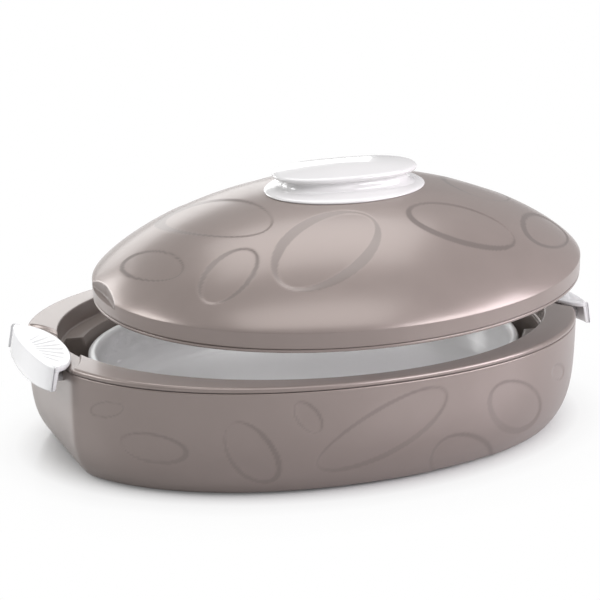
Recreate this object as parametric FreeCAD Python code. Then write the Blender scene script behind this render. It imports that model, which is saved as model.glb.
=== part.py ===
import FreeCAD, Part
import math
import os

# Insulated oval casserole for flat breads, in millimetres.
# Origin: middle of the underside, on the table.  +X runs to the right latch, +Y to the back, +Z up.
# The lid is set down off its seat: raised, shifted to the right and tipped a little forward.

V = FreeCAD.Vector

# ---- outer body -------------------------------------------------------------------------------
BODY_HEIGHT = 72.0            # table to the top of the rim
RIM_HALF_LENGTH = 179.0       # superellipse that the rim follows, before its ends are cut straight
RIM_HALF_WIDTH = 138.0
RIM_EXPONENT = 2.16
RIM_END_CUT = 9.0             # how far the rim's ends are cut back straight
FOOT_HALF_LENGTH = 167.0      # the same outline at the table
FOOT_HALF_WIDTH = 118.7
FOOT_EXPONENT = 2.14
FOOT_END_CUT = 9.4
SIDE_CURVE = 3.06             # how late the long sides turn in towards the foot
LENGTH_CURVE = 6.0            # the same for the outline's length
END_CURVE = 5.6               # the same for the two flat ends
END_CORNER_RADIUS = 7.0       # round between a flat end and a long side
SKIN = 2.5                    # wall of the outer shell
PARTING_DROP = 4.0            # the shell stops this far under the rim's top
PARTING_GAP = 0.3
FIT = 0.3                     # clearance between moulded pieces that only lie beside each other

# ---- underside --------------------------------------------------------------------------------
STANDING_GAP = 1.2            # air under the shell's foot rim
FLOOR_RECESS = 5.0            # table to the underside of the shell's floor
FLOOR_THICKNESS = 2.5
FOOT_RIM_WIDTH = 10.0         # width of the foot rim round the recess
COVER_THICKNESS = 2.0
COVER_GAP = 0.8               # bottom cover to foot rim, all round
COVER_SCREW_X = 105.0
COVER_SCREW_Y = 62.0
COVER_SCREW_RADIUS = 1.5
COVER_SCREW_HEAD_RADIUS = 3.2
COVER_SCREW_HEAD_HEIGHT = 1.4
COVER_BOSS_RADIUS = 4.0
COVER_BOSS_HEIGHT = 6.5
SCREW_CLEARANCE = 0.1         # screw to its pilot hole
FOOT_RADIUS = 9.0             # rubber feet
FOOT_X = 122.0
FOOT_Y = 38.0
PLUG_RADIUS = 9.0             # plugs that close the foam filling holes
PLUG_BARB = 1.0
PLUG_BARB_HEIGHT = 1.5

# ---- inner liner and its rim ------------------------------------------------------------------
RIM_END_WIDTH = 19.4          # rim's outline, before its ends are cut, to the opening's end
RIM_SIDE_WIDTH = 10.6         # the same at the middle of the long sides
RIM_THICKNESS = 2.2
RIM_LIP = 2.4                 # width of the rim's turned-down edge
LEDGE_DEPTH = 12.6            # rim top to the ledge that carries the lid
LEDGE_END_WIDTH = 13.6
LEDGE_SIDE_WIDTH = 10.4
WELL_FLOOR = 19.0             # table to the liner's floor, on its upper side
WELL_LEAN = 8.0               # the well's wall leans out this much from its floor to the ledge
WELL_CORNER = 12.0            # round between the well's floor and wall
LINER_WALL = 2.0
GRIP_HALF_WIDTH = 49.0        # finger recess at each end of the well
GRIP_END_STEP = 2.6           # opening's end to the recess's end wall

# ---- serving dish -----------------------------------------------------------------------------
DISH_END_PLAY = 2.5           # dish to the well's edge, at the ends
DISH_SIDE_PLAY = 4.5          # the same along the sides
DISH_RIM_DROP = 3.4           # ledge to the top of the dish's rim
DISH_WALL = 2.2
DISH_BEAD = 2.2               # radius of the rolled edge
DISH_FOOT_HEIGHT = 2.5
DISH_WALL_SPREAD = 25.5       # how much further out the dish's rim is than its floor

# ---- latches ----------------------------------------------------------------------------------
SEAT_DEPTH = 2.0              # latch seats are let into the rim
SEAT_UNDER_GAP = 0.4          # shell's top to the underside of the seats' plates
SEAT_CLEARANCE = 1.0
PAD_THICKNESS = 3.2
PAD_OVERHANG = 8.0            # body's end to the line where the lobe meets the pad's outer edge
PAD_HALF_WIDTH = 50.0
LOBE_LENGTH = 18.0            # pad line to the tip of the lobe
PAD_BULGE = 6.0               # pad line to the outermost edge
SKIRT_THICKNESS = 2.6
SKIRT_FLARE = 2.4             # the skirt's foot stands out this far past its top
SKIRT_DROP = 17.0             # rim's top to the lowest point of the skirt
SKIRT_END_RISE = 4.0          # the skirt is this much shorter at its ends
LATCH_TRAVEL = 5.0
PEG_Y = 30.0                  # guide pegs that run through the body's end wall
PEG_DROP = 10.5               # rim's top to the pegs
PEG_RADIUS = 3.0
PEG_RUNNING_FIT = 0.08
PEG_SHOULDER_RADIUS = 4.6
PEG_WASHER_RADIUS = 4.8
PEG_WASHER_THICKNESS = 1.0
PEG_SCREW_RADIUS = 1.3
PEG_SCREW_HEAD_RADIUS = 2.6
PEG_SCREW_HEAD_HEIGHT = 1.8
PEG_SCREW_LENGTH = 9.0
PEG_POCKET = 1.2              # air round the washers, in the foam

# ---- lid, in its own frame: origin in the middle of its bottom edge ----------------------------
LID_END_PLAY = 1.6            # lid to the opening, at the ends
LID_SIDE_PLAY = 1.4           # the same along the sides
LID_BAND = 11.6               # bottom edge to the crease
LID_RISE = 51.3               # crease to the top of the dome
LID_SIDE_POWER = 1.2
LID_TOP_POWER = 2.08
LID_SKIN = 2.4
LID_LIP = 1.9                 # the lid liner's edge shows this much under the shell
LID_LIP_WIDTH = 9.0
LID_HOLLOW_RISE = 34.0        # bottom edge to the top of the hollow inside
LID_LINER_WALL = 2.0
NOTCH_CLEARANCE = 1.5         # lid notch round a locked latch lobe
NOTCH_FLOOR_DROP = 2.3        # crease to the notch's floor
NOTCH_WALL = 2.0
LID_REST_X = 17.0             # how the lid is set down
LID_REST_Y = -16.2
LID_RAISED = 27.3             # rim's top to the middle of the lid's bottom edge
LID_TIP_FORWARD = 3.6
LID_TIP_LEFT = -2.1

# ---- lid handle -------------------------------------------------------------------------------
PLATE_HALF_LENGTH = 53.0
PLATE_HALF_WIDTH = 33.0
PLATE_THICKNESS = 1.6
DOME_GAP = 0.1                # handle plate to dome
GRIP_HALF_LENGTH_TOP = 46.0
GRIP_HALF_WIDTH_TOP = 28.0
GRIP_STANDS = 9.1             # dome's top to the widest line of the grip
GRIP_CROWN = 3.0
GRIP_EDGE_DROP = 2.2          # the grip's edge is this thick under its widest line
GRIP_UNDERCUT = 6.0
GRIP_FOOT_FLARE = 3.0
GRIP_FOOT_DEPTH = 5.5         # dome's top to the lowest point of the grip's foot
GRIP_LIP = 1.2
GRIP_WALL = 2.4
HANDLE_SCREW_X = 24.0
HANDLE_SCREW_RADIUS = 2.0
HANDLE_SCREW_HEAD_RADIUS = 3.8
HANDLE_SCREW_HEAD_HEIGHT = 2.6
HANDLE_BOSS_RADIUS = 4.6
HANDLE_HOLE_CLEARANCE = 0.3
HANDLE_WASHER_RADIUS = 5.2
HANDLE_WASHER_THICKNESS = 1.0
HANDLE_CUP_RADIUS = 6.8       # cups in the lid's liner that take the screw heads
HANDLE_CUP_DEPTH = 8.0        # hollow's top to the cups' ceiling
HANDLE_CAP_THICKNESS = 4.0
HANDLE_CAP_STANDS = 1.0       # the screw caps stand this far into the hollow

# ---- worked out -------------------------------------------------------------------------------
RIM_END_X = RIM_HALF_LENGTH - RIM_END_CUT
FOOT_END_X = FOOT_HALF_LENGTH - FOOT_END_CUT
OPENING_HALF_LENGTH = RIM_HALF_LENGTH - RIM_END_WIDTH
OPENING_HALF_WIDTH = RIM_HALF_WIDTH - RIM_SIDE_WIDTH
WELL_HALF_LENGTH = OPENING_HALF_LENGTH - LEDGE_END_WIDTH
WELL_HALF_WIDTH = OPENING_HALF_WIDTH - LEDGE_SIDE_WIDTH
WELL_FLOOR_HALF_LENGTH = WELL_HALF_LENGTH - WELL_LEAN
GRIP_HALF_LENGTH = OPENING_HALF_LENGTH - GRIP_END_STEP
GRIP_FLOOR = WELL_FLOOR + WELL_CORNER
DISH_HALF_LENGTH = WELL_HALF_LENGTH - DISH_END_PLAY
DISH_HALF_WIDTH = WELL_HALF_WIDTH - DISH_SIDE_PLAY
DISH_FLOOR_HALF_LENGTH = DISH_HALF_LENGTH - DISH_WALL_SPREAD
PAD_LINE_X = RIM_END_X + PAD_OVERHANG
SKIRT_FOOT_Z = BODY_HEIGHT - SKIRT_DROP
PEG_Z = BODY_HEIGHT - PEG_DROP
LID_HALF_LENGTH = OPENING_HALF_LENGTH - LID_END_PLAY
LID_HALF_WIDTH = OPENING_HALF_WIDTH - LID_SIDE_PLAY
LID_REST_Z = BODY_HEIGHT + LID_RAISED
HANDLE_CUP_CEILING = LID_HOLLOW_RISE + HANDLE_CUP_DEPTH
SHELL_TOP = BODY_HEIGHT - PARTING_DROP
LEDGE_Z = BODY_HEIGHT - LEDGE_DEPTH
DISH_RIM_TOP = LEDGE_Z - DISH_RIM_DROP
SEAT_Z = BODY_HEIGHT - SEAT_DEPTH
SEAT_LOW_Z = SHELL_TOP + SEAT_UNDER_GAP
PAD_Z = SEAT_Z + FIT
SHELL_FLOOR_TOP = FLOOR_RECESS + FLOOR_THICKNESS
END_WALL_INSIDE = RIM_END_X - SKIN
LID_TOP = LID_BAND + LID_RISE
GRIP_EDGE_Z = LID_TOP + GRIP_STANDS
DISH_SQUASH = DISH_HALF_WIDTH / DISH_HALF_LENGTH
WELL_SQUASH = WELL_HALF_WIDTH / WELL_HALF_LENGTH
LID_SQUASH = LID_HALF_WIDTH / LID_HALF_LENGTH
FAR = 400.0                   # past the object on every side
HOLLOW_FOOT = -1.0            # cutting tools for the hollow start under the lid's edge

FOLDER = "parts"
os.makedirs(FOLDER, exist_ok=True)
PARTS = {}


def keep(name, shape):
    """Checks a finished piece, notes it and writes its file."""
    solids = shape.Solids
    if not shape.isValid() or not solids:
        raise ValueError(name + " is not a valid solid")
    PARTS[name] = shape
    shape.exportStep(FOLDER + "/" + name + ".step")
    print(name, len(solids), "solids", round(shape.Volume / 1000.0, 2), "cm3")


# ---- shape helpers ----------------------------------------------------------------------------
def mirrored(shape):
    """The same shape on the other end of the body."""
    return shape.mirror(V(0, 0, 0), V(1, 0, 0))


def superellipse(half_length, half_width, exponent, z, steps=32):
    points = []
    for i in range(steps):
        turn = 2.0 * math.pi * i / steps
        c = math.cos(turn)
        s = math.sin(turn)
        x = half_length * math.copysign(abs(c) ** (2.0 / exponent), c)
        y = half_width * math.copysign(abs(s) ** (2.0 / exponent), s)
        points.append(V(x, y, z))
    curve = Part.BSplineCurve()
    curve.interpolate(Points=points, PeriodicFlag=True)
    return Part.Wire([curve.toShape()])


def slab(z_low, z_high):
    box = Part.makeBox(2 * FAR, 2 * FAR, z_high - z_low)
    box.translate(V(-FAR, -FAR, z_low))
    return box


def curve_share(share, power):
    return 1.0 - (1.0 - share) ** power


def body_block(inset):
    """The whole outer form of the body, drawn in by inset on every side."""
    sections = []
    for share in (0.0, 0.05, 0.12, 0.22, 0.38, 0.6, 0.8, 1.0):
        along = curve_share(share, LENGTH_CURVE)
        across = curve_share(share, SIDE_CURVE)
        half_length = FOOT_HALF_LENGTH + (RIM_HALF_LENGTH - FOOT_HALF_LENGTH) * along - inset
        half_width = FOOT_HALF_WIDTH + (RIM_HALF_WIDTH - FOOT_HALF_WIDTH) * across - inset
        exponent = FOOT_EXPONENT + (RIM_EXPONENT - FOOT_EXPONENT) * share
        sections.append(superellipse(half_length, half_width, exponent, BODY_HEIGHT * share))
    full = Part.makeLoft(sections, True, False)
    points = []
    for share in (0.0, 0.04, 0.1, 0.18, 0.3, 0.5, 0.75, 1.0):
        x = FOOT_END_X + (RIM_END_X - FOOT_END_X) * curve_share(share, END_CURVE) - inset
        points.append(V(x, -FAR, BODY_HEIGHT * share))
    end = Part.BSplineCurve()
    end.interpolate(points)
    top = Part.makeLine(points[-1], V(0, -FAR, BODY_HEIGHT))
    middle = Part.makeLine(V(0, -FAR, BODY_HEIGHT), V(0, -FAR, 0))
    bottom = Part.makeLine(V(0, -FAR, 0), points[0])
    half = Part.Face(Part.Wire([end.toShape(), top, middle, bottom])).extrude(V(0, 2 * FAR, 0))
    block = full.common(half.fuse(mirrored(half)).removeSplitter())
    corners = [e for e in block.Edges if e.BoundBox.ZLength > BODY_HEIGHT * 0.9]
    return block.makeFillet(max(END_CORNER_RADIUS - inset, 1.0), corners)


def oval_prism(half_length, half_width, z_low, z_high, x=0.0):
    if half_length >= half_width:
        curve = Part.Ellipse(V(0, 0, 0), half_length, half_width).toShape()
    else:
        curve = Part.Ellipse(V(0, 0, 0), half_width, half_length).toShape()
        curve.rotate(V(0, 0, 0), V(0, 0, 1), 90)
    prism = Part.Face(Part.Wire([curve])).extrude(V(0, 0, z_high - z_low))
    prism.translate(V(x, 0, z_low))
    return prism


def line(a, b):
    return Part.makeLine(V(a[0], 0, a[1]), V(b[0], 0, b[1]))


def arc(a, middle, b):
    return Part.Arc(V(a[0], 0, a[1]), V(middle[0], 0, middle[1]), V(b[0], 0, b[1])).toShape()


def spline(points):
    curve = Part.BSplineCurve()
    curve.interpolate([V(p[0], 0, p[1]) for p in points])
    return curve.toShape()


def squashed_turn(edges, squash):
    """Turns a closed half profile in XZ about Z, then squashes it across to an oval."""
    solid = Part.Face(Part.Wire(edges)).revolve(V(0, 0, 0), V(0, 0, 1), 360)
    matrix = FreeCAD.Matrix()
    matrix.scale(V(1, squash, 1))
    return solid.transformGeometry(matrix)


def upright(radius, x, y, z_low, z_high):
    return Part.makeCylinder(radius, z_high - z_low, V(x, y, z_low))


def peg(radius, x_low, x_high, y, z):
    return Part.makeCylinder(radius, x_high - x_low, V(x_low, y, z), V(1, 0, 0))


def group(solids):
    return Part.makeCompound(solids)


# ---- body -------------------------------------------------------------------------------------
def cover_screw_spots():
    return [(sx * COVER_SCREW_X, sy * COVER_SCREW_Y) for sx in (-1, 1) for sy in (-1, 1)]


def foot_spots():
    return [(sx * FOOT_X, sy * FOOT_Y) for sx in (-1, 1) for sy in (-1, 1)]


def opening_void(grow):
    return oval_prism(OPENING_HALF_LENGTH + grow, OPENING_HALF_WIDTH + grow,
                      LEDGE_Z - grow, BODY_HEIGHT + 1.0)


def well_void(grow):
    """The well under the ledge, as large as its walls' inner faces plus grow."""
    top = WELL_HALF_LENGTH + grow
    foot = WELL_FLOOR_HALF_LENGTH + grow
    floor = WELL_FLOOR - grow
    corner = WELL_CORNER + grow
    half = corner * (1.0 - math.cos(math.pi / 4.0))
    edges = [
        line((0, floor), (foot - corner, floor)),
        arc((foot - corner, floor), (foot - half, floor + half), (foot, floor + corner)),
        line((foot, floor + corner), (top, LEDGE_Z)),
        line((top, LEDGE_Z), (top, LEDGE_Z + 1.0)),
        line((top, LEDGE_Z + 1.0), (0, LEDGE_Z + 1.0)),
        line((0, LEDGE_Z + 1.0), (0, floor)),
    ]
    return squashed_turn(edges, WELL_SQUASH)


def grip_void(grow):
    """One finger recess, at the left end of the well."""
    end = oval_prism(GRIP_HALF_LENGTH + grow, OPENING_HALF_WIDTH - LINER_WALL + grow,
                     GRIP_FLOOR - grow, LEDGE_Z + 1.0)
    inner = WELL_FLOOR_HALF_LENGTH - 2 * WELL_CORNER
    box = Part.makeBox(FAR, 2 * (GRIP_HALF_WIDTH + grow), FAR)
    box.translate(V(-FAR - inner, -GRIP_HALF_WIDTH - grow, 0))
    return end.common(box)


def liner_void(grow):
    grip = grip_void(grow)
    return opening_void(grow).multiFuse([well_void(grow), grip, mirrored(grip)])


def seat_plan(grow, z_low, z_high):
    """The left latch's seat: its lobe at full travel and everything outside it."""
    locked = PAD_LINE_X - LATCH_TRAVEL
    reach = SEAT_CLEARANCE + grow
    lobe = oval_prism(LOBE_LENGTH + reach, PAD_HALF_WIDTH + reach, z_low, z_high, -locked)
    outside = Part.makeBox(FAR, 2 * (PAD_HALF_WIDTH + reach), z_high - z_low)
    outside.translate(V(-FAR - locked, -PAD_HALF_WIDTH - reach, z_low))
    return lobe.fuse(outside)


def make_body():
    outer = body_block(0.0)
    inner = body_block(SKIN)
    in_lip = body_block(RIM_LIP)
    in_foam = body_block(SKIN + FIT)

    # outer shell: wall, floor, foot rim and screw bosses
    recess = superellipse(FOOT_HALF_LENGTH - FOOT_RIM_WIDTH, FOOT_HALF_WIDTH - FOOT_RIM_WIDTH,
                          FOOT_EXPONENT, 0.0)
    ends = Part.makeBox(2 * (FOOT_END_X - FOOT_RIM_WIDTH), 2 * FAR, FLOOR_RECESS)
    ends.translate(V(-FOOT_END_X + FOOT_RIM_WIDTH, -FAR, 0))
    underside = Part.Face(recess).extrude(V(0, 0, FLOOR_RECESS)).common(ends)
    shell = outer.common(slab(STANDING_GAP, SHELL_TOP))
    shell = shell.cut(inner.common(slab(SHELL_FLOOR_TOP, BODY_HEIGHT))).cut(underside)
    bosses = [upright(COVER_BOSS_RADIUS, x, y, SHELL_FLOOR_TOP, SHELL_FLOOR_TOP + COVER_BOSS_HEIGHT)
              for x, y in cover_screw_spots()]
    shell = shell.multiFuse(bosses).removeSplitter()
    screw_top = SHELL_FLOOR_TOP + COVER_BOSS_HEIGHT - 1.0
    holes = [upright(COVER_SCREW_RADIUS + SCREW_CLEARANCE, x, y, 0, screw_top)
             for x, y in cover_screw_spots()]
    holes.append(upright(PLUG_RADIUS, 0, 0, 0, SHELL_FLOOR_TOP + 1.0))
    for side in (-1, 1):
        for y in (-PEG_Y, PEG_Y):
            x = side * RIM_END_X
            holes.append(peg(PEG_RADIUS + PEG_RUNNING_FIT, x - 2 * SKIN, x + 2 * SKIN, y, PEG_Z))
    keep("base_outer_shell", shell.cut(group(holes)))

    # inner liner with the rim, the ledge, the well and the latch seats
    seat_cut = seat_plan(0.0, SEAT_Z, BODY_HEIGHT + 1.0)
    rim = outer.common(slab(SHELL_TOP + PARTING_GAP, BODY_HEIGHT))
    rim = rim.cut(in_lip.common(slab(0, BODY_HEIGHT - RIM_THICKNESS)))
    rim = rim.cut(opening_void(LINER_WALL / 2.0)).cut(seat_cut).cut(mirrored(seat_cut))
    walls = liner_void(LINER_WALL).common(slab(0, BODY_HEIGHT))
    walls = walls.cut(liner_void(0.0)).cut(seat_cut).cut(mirrored(seat_cut))
    seat = seat_plan(LINER_WALL, SEAT_LOW_Z, SEAT_Z)
    seat = seat.common(body_block(RIM_LIP / 2.0)).cut(opening_void(LINER_WALL / 2.0))
    keep("base_inner_liner", rim.multiFuse([walls, seat, mirrored(seat)]))

    # foam between the two
    foam = in_foam.common(slab(SHELL_FLOOR_TOP + FIT, SEAT_LOW_Z - FIT))
    away = [liner_void(LINER_WALL + FIT)]
    for x, y in cover_screw_spots():
        away.append(upright(COVER_BOSS_RADIUS + FIT, x, y, 0, SHELL_FLOOR_TOP + COVER_BOSS_HEIGHT + FIT))
    away.append(upright(PLUG_RADIUS + PLUG_BARB + FIT, 0, 0, 0,
                        SHELL_FLOOR_TOP + PLUG_BARB_HEIGHT + FIT))
    pocket = PEG_WASHER_RADIUS + PEG_POCKET
    for side in (-1, 1):
        for y in (-PEG_Y, PEG_Y):
            low = min(side * RIM_END_X, side * WELL_HALF_LENGTH)
            box = Part.makeBox(RIM_END_X - WELL_HALF_LENGTH, 2 * pocket, 2 * pocket)
            box.translate(V(low, y - pocket, PEG_Z - pocket))
            away.append(box)
    foam = foam.cut(away[0]).cut(group(away[1:]))
    keep("base_foam", foam)

    # underside
    cover_gap = FOOT_RIM_WIDTH + COVER_GAP
    cover = superellipse(FOOT_HALF_LENGTH - cover_gap, FOOT_HALF_WIDTH - cover_gap, FOOT_EXPONENT,
                         FLOOR_RECESS - COVER_THICKNESS)
    ends = Part.makeBox(2 * (FOOT_END_X - cover_gap), 2 * FAR, FLOOR_RECESS)
    ends.translate(V(-FOOT_END_X + cover_gap, -FAR, 0))
    cover = Part.Face(cover).extrude(V(0, 0, COVER_THICKNESS)).common(ends)
    cover_low = FLOOR_RECESS - COVER_THICKNESS
    cover = cover.cut(group([upright(COVER_SCREW_RADIUS + FIT, x, y, 0, FLOOR_RECESS)
                             for x, y in cover_screw_spots()]))
    keep("base_bottom_cover", cover)
    screws = []
    for x, y in cover_screw_spots():
        head = upright(COVER_SCREW_HEAD_RADIUS, x, y, cover_low - COVER_SCREW_HEAD_HEIGHT, cover_low)
        screws.append(head.fuse(upright(COVER_SCREW_RADIUS, x, y, cover_low, screw_top - FIT)))
    keep("base_cover_screws", group(screws))
    keep("rubber_feet", group([upright(FOOT_RADIUS, x, y, 0, cover_low) for x, y in foot_spots()]))
    plug = upright(PLUG_RADIUS - SCREW_CLEARANCE, 0, 0, FLOOR_RECESS, SHELL_FLOOR_TOP)
    barb = upright(PLUG_RADIUS + PLUG_BARB, 0, 0, SHELL_FLOOR_TOP, SHELL_FLOOR_TOP + PLUG_BARB_HEIGHT)
    keep("base_foam_plug", plug.fuse(barb))


# ---- serving dish -----------------------------------------------------------------------------
def make_dish():
    floor = WELL_FLOOR + DISH_FOOT_HEIGHT
    foot = DISH_FLOOR_HALF_LENGTH
    edge = DISH_HALF_LENGTH
    round_off = DISH_BEAD * (1.0 - math.cos(math.pi / 4.0))
    wall_x = edge - 2 * DISH_BEAD + 0.4
    under = DISH_RIM_TOP - 2 * DISH_BEAD
    rise = under - floor
    run = wall_x - foot
    outer = [(foot, floor), (foot + 0.45 * run, floor + 0.2 * rise),
             (foot + 0.82 * run, floor + 0.55 * rise), (wall_x, under)]
    inner = [(x - DISH_WALL, z + DISH_WALL * (1.0 - (z - floor) / rise)) for x, z in outer]
    ring = DISH_FOOT_HEIGHT * 2
    edges = [
        line((0, floor), (foot - 2 * ring, floor)),
        line((foot - 2 * ring, floor), (foot - 2 * ring, WELL_FLOOR)),
        line((foot - 2 * ring, WELL_FLOOR), (foot - ring, WELL_FLOOR)),
        line((foot - ring, WELL_FLOOR), (foot - ring, floor)),
        line((foot - ring, floor), (foot, floor)),
        spline(outer),
        line((wall_x, under), (edge, under)),
        line((edge, under), (edge, DISH_RIM_TOP - DISH_BEAD)),
        arc((edge, DISH_RIM_TOP - DISH_BEAD), (edge - round_off, DISH_RIM_TOP - round_off),
            (edge - DISH_BEAD, DISH_RIM_TOP)),
        line((edge - DISH_BEAD, DISH_RIM_TOP), (wall_x, DISH_RIM_TOP)),
        arc((wall_x, DISH_RIM_TOP), (wall_x - DISH_WALL * 0.7, DISH_RIM_TOP - DISH_WALL * 0.3),
            (wall_x - DISH_WALL, DISH_RIM_TOP - DISH_WALL)),
        line((wall_x - DISH_WALL, DISH_RIM_TOP - DISH_WALL), inner[-1]),
        spline(list(reversed(inner))),
        line(inner[0], (0, inner[0][1])),
        line((0, inner[0][1]), (0, floor)),
    ]
    keep("serving_dish", squashed_turn(edges, DISH_SQUASH))


# ---- latches ----------------------------------------------------------------------------------
def half_oval(reach, half_width, z, outward):
    """Half an ellipse in plan from one end of the pad line to the other."""
    side = -1.0 if outward else 1.0
    points = []
    for i in range(13):
        turn = math.pi * i / 12.0 - math.pi / 2.0
        points.append(V(-PAD_LINE_X + side * reach * math.cos(turn), half_width * math.sin(turn), z))
    curve = Part.BSplineCurve()
    curve.interpolate(points)
    return curve.toShape()


def skirt_section(reach, z):
    """Plan section of the skirt: a thin bow that follows the pad's outer edge."""
    out = half_oval(reach, PAD_HALF_WIDTH, z, True)
    inn = half_oval(reach - SKIRT_THICKNESS, PAD_HALF_WIDTH - SKIRT_THICKNESS, z, True)
    low = Part.makeLine(out.Vertexes[0].Point, inn.Vertexes[0].Point)
    high = Part.makeLine(out.Vertexes[-1].Point, inn.Vertexes[-1].Point)
    return Part.Wire([out, high, inn, low])


def make_latch(side):
    """One latch with its pegs, washers and screws; side is -1 for the left end, 1 for the right."""
    def finish(shape):
        return shape if side < 0 else mirrored(shape)

    pad_top = PAD_Z + PAD_THICKNESS
    outline = Part.Wire([half_oval(PAD_BULGE, PAD_HALF_WIDTH, PAD_Z, True),
                         half_oval(LOBE_LENGTH, PAD_HALF_WIDTH, PAD_Z, False)])
    pad = Part.Face(outline).extrude(V(0, 0, PAD_THICKNESS))
    foot_reach = PAD_BULGE + SKIRT_FLARE
    skirt = Part.makeLoft([skirt_section(foot_reach, SKIRT_FOOT_Z - 1.0),
                           skirt_section(PAD_BULGE, PAD_Z)], True, True)
    ends_z = SKIRT_FOOT_Z + SKIRT_END_RISE
    hem = Part.Arc(V(-FAR, -PAD_HALF_WIDTH, ends_z), V(-FAR, 0, SKIRT_FOOT_Z),
                   V(-FAR, PAD_HALF_WIDTH, ends_z)).toShape()
    wide = PAD_HALF_WIDTH + 5.0
    below = Part.makePolygon([V(-FAR, PAD_HALF_WIDTH, ends_z), V(-FAR, wide, ends_z),
                              V(-FAR, wide, 0), V(-FAR, -wide, 0), V(-FAR, -wide, ends_z),
                              V(-FAR, -PAD_HALF_WIDTH, ends_z)])
    trim = Part.Face(Part.Wire([hem] + below.Edges)).extrude(V(FAR, 0, 0))
    latch = pad.fuse(skirt.cut(trim))
    shoulder_end = -RIM_END_X - LATCH_TRAVEL - FIT
    peg_end = -END_WALL_INSIDE + FIT
    pegs = []
    screws = []
    washers = []
    holes = []
    for y in (-PEG_Y, PEG_Y):
        bow = math.sqrt(1.0 - (y / PAD_HALF_WIDTH) ** 2)
        root = -PAD_LINE_X - PAD_BULGE * bow
        pegs.append(peg(PEG_SHOULDER_RADIUS, root, shoulder_end, y, PEG_Z))
        pegs.append(peg(PEG_RADIUS, root, peg_end, y, PEG_Z))
        washer_end = peg_end + PEG_WASHER_THICKNESS
        ring = peg(PEG_WASHER_RADIUS, peg_end, washer_end, y, PEG_Z)
        washers.append(ring.cut(peg(PEG_SCREW_RADIUS + FIT, peg_end, washer_end, y, PEG_Z)))
        head = peg(PEG_SCREW_HEAD_RADIUS, washer_end, washer_end + PEG_SCREW_HEAD_HEIGHT, y, PEG_Z)
        screws.append(head.fuse(peg(PEG_SCREW_RADIUS, peg_end - PEG_SCREW_LENGTH, washer_end, y, PEG_Z)))
        holes.append(peg(PEG_SCREW_RADIUS + SCREW_CLEARANCE, peg_end - PEG_SCREW_LENGTH - FIT,
                         peg_end, y, PEG_Z))
    latch = latch.multiFuse(pegs).cut(group(holes)).removeSplitter()
    name = "left" if side < 0 else "right"
    keep("latch_" + name, finish(latch))
    keep("latch_washers_" + name, finish(group(washers)))
    keep("latch_screws_" + name, finish(group(screws)))


# ---- lid --------------------------------------------------------------------------------------
def set_down(shape):
    """Moves a piece from the lid's own frame to where the lid stands."""
    shape = shape.copy()
    shape.rotate(V(0, 0, 0), V(1, 0, 0), LID_TIP_FORWARD)
    shape.rotate(V(0, 0, 0), V(0, 1, 0), LID_TIP_LEFT)
    shape.translate(V(LID_REST_X, LID_REST_Y, LID_REST_Z))
    return shape


def dome(offset, z_low):
    """The lid's outer form above z_low, grown outward by offset."""
    half_length = LID_HALF_LENGTH + offset
    rise = LID_RISE + offset
    points = []
    for i in range(17):
        share = (1.0 - math.cos(math.pi * i / 16.0)) / 2.0
        across = (1.0 - share ** LID_SIDE_POWER) ** (1.0 / LID_TOP_POWER)
        points.append((half_length * across, LID_BAND + rise * share))
    top = LID_BAND + rise
    edges = [
        line((0, z_low), (half_length, z_low)),
        line((half_length, z_low), (half_length, LID_BAND)),
        spline(points),
        line((0, top), (0, z_low)),
    ]
    return squashed_turn(edges, LID_SQUASH)


def dome_height(x, y, offset):
    """Height of the dome over a spot, in the lid's frame."""
    out = math.hypot(x / (LID_HALF_LENGTH + offset), y / (LID_HALF_WIDTH + offset))
    return LID_BAND + (LID_RISE + offset) * (1.0 - out ** LID_TOP_POWER) ** (1.0 / LID_SIDE_POWER)


def under_handle(offset):
    """The block of space under the dome, below the handle only."""
    rows = []
    for i in range(13):
        x = (i / 6.0 - 1.0) * (PLATE_HALF_LENGTH + 8.0)
        rows.append([V(x, y, dome_height(x, y, offset))
                     for y in [(j / 5.0 - 1.0) * (PLATE_HALF_WIDTH + 8.0) for j in range(11)]])
    surface = Part.BSplineSurface()
    surface.interpolate(rows)
    return surface.toShape().extrude(V(0, 0, -LID_RISE / 2.0))


def hollow(grow):
    """The hollow under the lid, grown by grow."""
    edge = LID_HALF_LENGTH - LID_LIP_WIDTH - LID_LINER_WALL
    rise = LID_HOLLOW_RISE + grow
    points = []
    for i in range(12):
        turn = math.pi * i / 24.0
        points.append(((edge + grow) * math.cos(turn) ** 0.5, rise * math.sin(turn)))
    points.append((0, rise))
    edges = [
        line((0, HOLLOW_FOOT), (edge + grow, HOLLOW_FOOT)),
        line((edge + grow, HOLLOW_FOOT), (edge + grow, 0)),
        spline(points),
        line((0, rise), (0, HOLLOW_FOOT)),
    ]
    return squashed_turn(edges, LID_SQUASH)


def notches(grow):
    """Room for the locked latch lobes at both ends of the lid."""
    reach = NOTCH_CLEARANCE + grow
    low = LID_BAND - NOTCH_FLOOR_DROP - grow
    one = oval_prism(LOBE_LENGTH + reach, PAD_HALF_WIDTH + reach, low, LID_TOP,
                     -PAD_LINE_X + LATCH_TRAVEL)
    return group([one, mirrored(one)])


def handle_spots():
    return (-HANDLE_SCREW_X, HANDLE_SCREW_X)


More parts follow.
